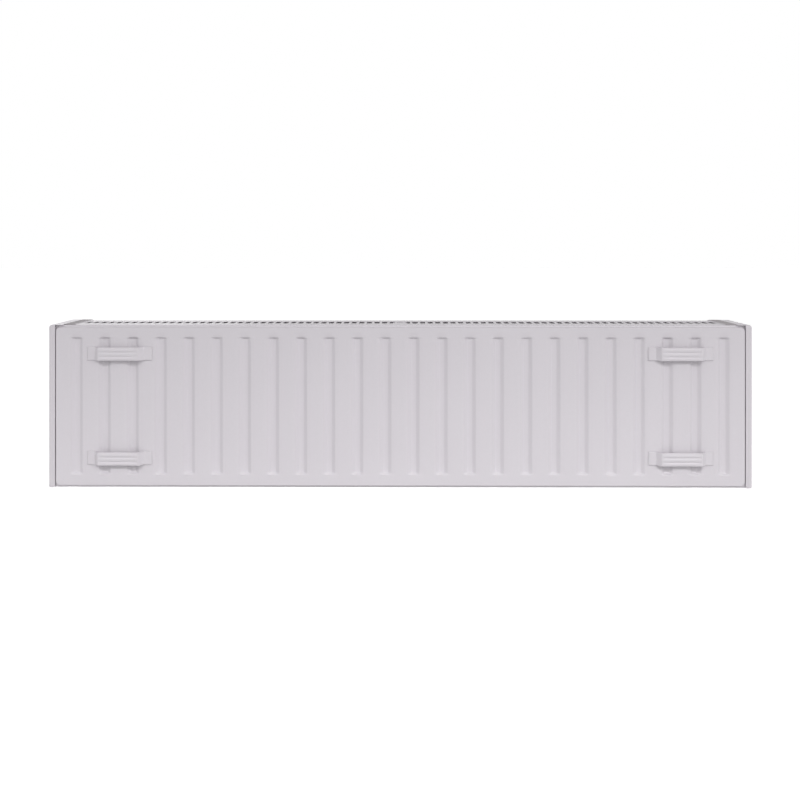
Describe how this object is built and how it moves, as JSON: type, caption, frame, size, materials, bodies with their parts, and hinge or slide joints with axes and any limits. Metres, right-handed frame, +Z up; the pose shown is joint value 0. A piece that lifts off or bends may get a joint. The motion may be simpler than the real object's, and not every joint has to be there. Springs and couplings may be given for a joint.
{
  "type": "panel radiator",
  "caption": "Low, long double-panel steel radiator for hot-water heating, with pressed flutes, convector fins, a slotted top grille, clip-on end covers and wall-hanger lugs.",
  "frame": {"origin": "centre of the bounding box in plan, at the panels' lower seam edges", "axes": "+X along the length, to the right as seen from the wall side; +Y from the wall side to the room side; +Z up"},
  "size_m": [1.3, 0.11, 0.302],
  "materials": {
    "enamel_paint": "satin baked enamel, white with a faint lilac cast",
    "spring_steel": "bright spring strip",
    "nickel_plate": "nickel-plated brass, lightly dulled",
    "seal_rubber": "matt black",
    "white_plastic": "moulded, semi-matt"
  },
  "bodies": {
    "radiator": {"rear_panel_outer_sheet": "enamel_paint", "rear_panel_inner_sheet": "enamel_paint", "front_panel_outer_sheet": "enamel_paint", "front_panel_inner_sheet": "enamel_paint", "rear_convector": "enamel_paint", "front_convector": "enamel_paint", "connection_tee_top_left": "enamel_paint", "connection_tee_top_right": "enamel_paint", "connection_tee_bottom_left": "enamel_paint", "connection_tee_bottom_right": "enamel_paint", "hanger_lug_upper_left": "enamel_paint", "hanger_lug_upper_right": "enamel_paint", "hanger_lug_lower_left": "enamel_paint", "hanger_lug_lower_right": "enamel_paint", "vent_plug": "nickel_plate", "vent_plug_seal": "seal_rubber", "blank_plug": "nickel_plate", "blank_plug_seal": "seal_rubber"},
    "grille": {"top_grille": "enamel_paint", "grille_clip_left": "enamel_paint", "grille_clip_middle": "enamel_paint", "grille_clip_right": "enamel_paint"},
    "left_cover": {"side_cover_left": "enamel_paint", "cover_clip_left_rear": "spring_steel", "cover_clip_left_front": "spring_steel"},
    "right_cover": {"side_cover_right": "enamel_paint", "cover_clip_right_rear": "spring_steel", "cover_clip_right_front": "spring_steel"},
    "nozzle": {"vent_nozzle": "white_plastic"},
    "bleed": {"bleed_screw": "nickel_plate"}
  },
  "joints": [
    {"name": "grille_lift", "type": "slide", "parent": "radiator", "child": "grille", "axis": [0, 0, 1], "range_m": [0, 0.03]},
    {"name": "left_cover_pull", "type": "slide", "parent": "radiator", "child": "left_cover", "axis": [-1, 0, 0], "range_m": [0, 0.035]},
    {"name": "right_cover_pull", "type": "slide", "parent": "radiator", "child": "right_cover", "axis": [1, 0, 0], "range_m": [0, 0.035]},
    {"name": "nozzle_turn", "type": "hinge", "parent": "radiator", "child": "nozzle", "pos_m": [-0.646, 0.005, 0.273], "axis": [-1, 0, 0], "continuous": true},
    {"name": "bleed_turn", "type": "hinge", "parent": "radiator", "child": "bleed", "pos_m": [-0.646, 0.005, 0.273], "axis": [-1, 0, 0], "range_deg": [0, 540]}
  ]
}
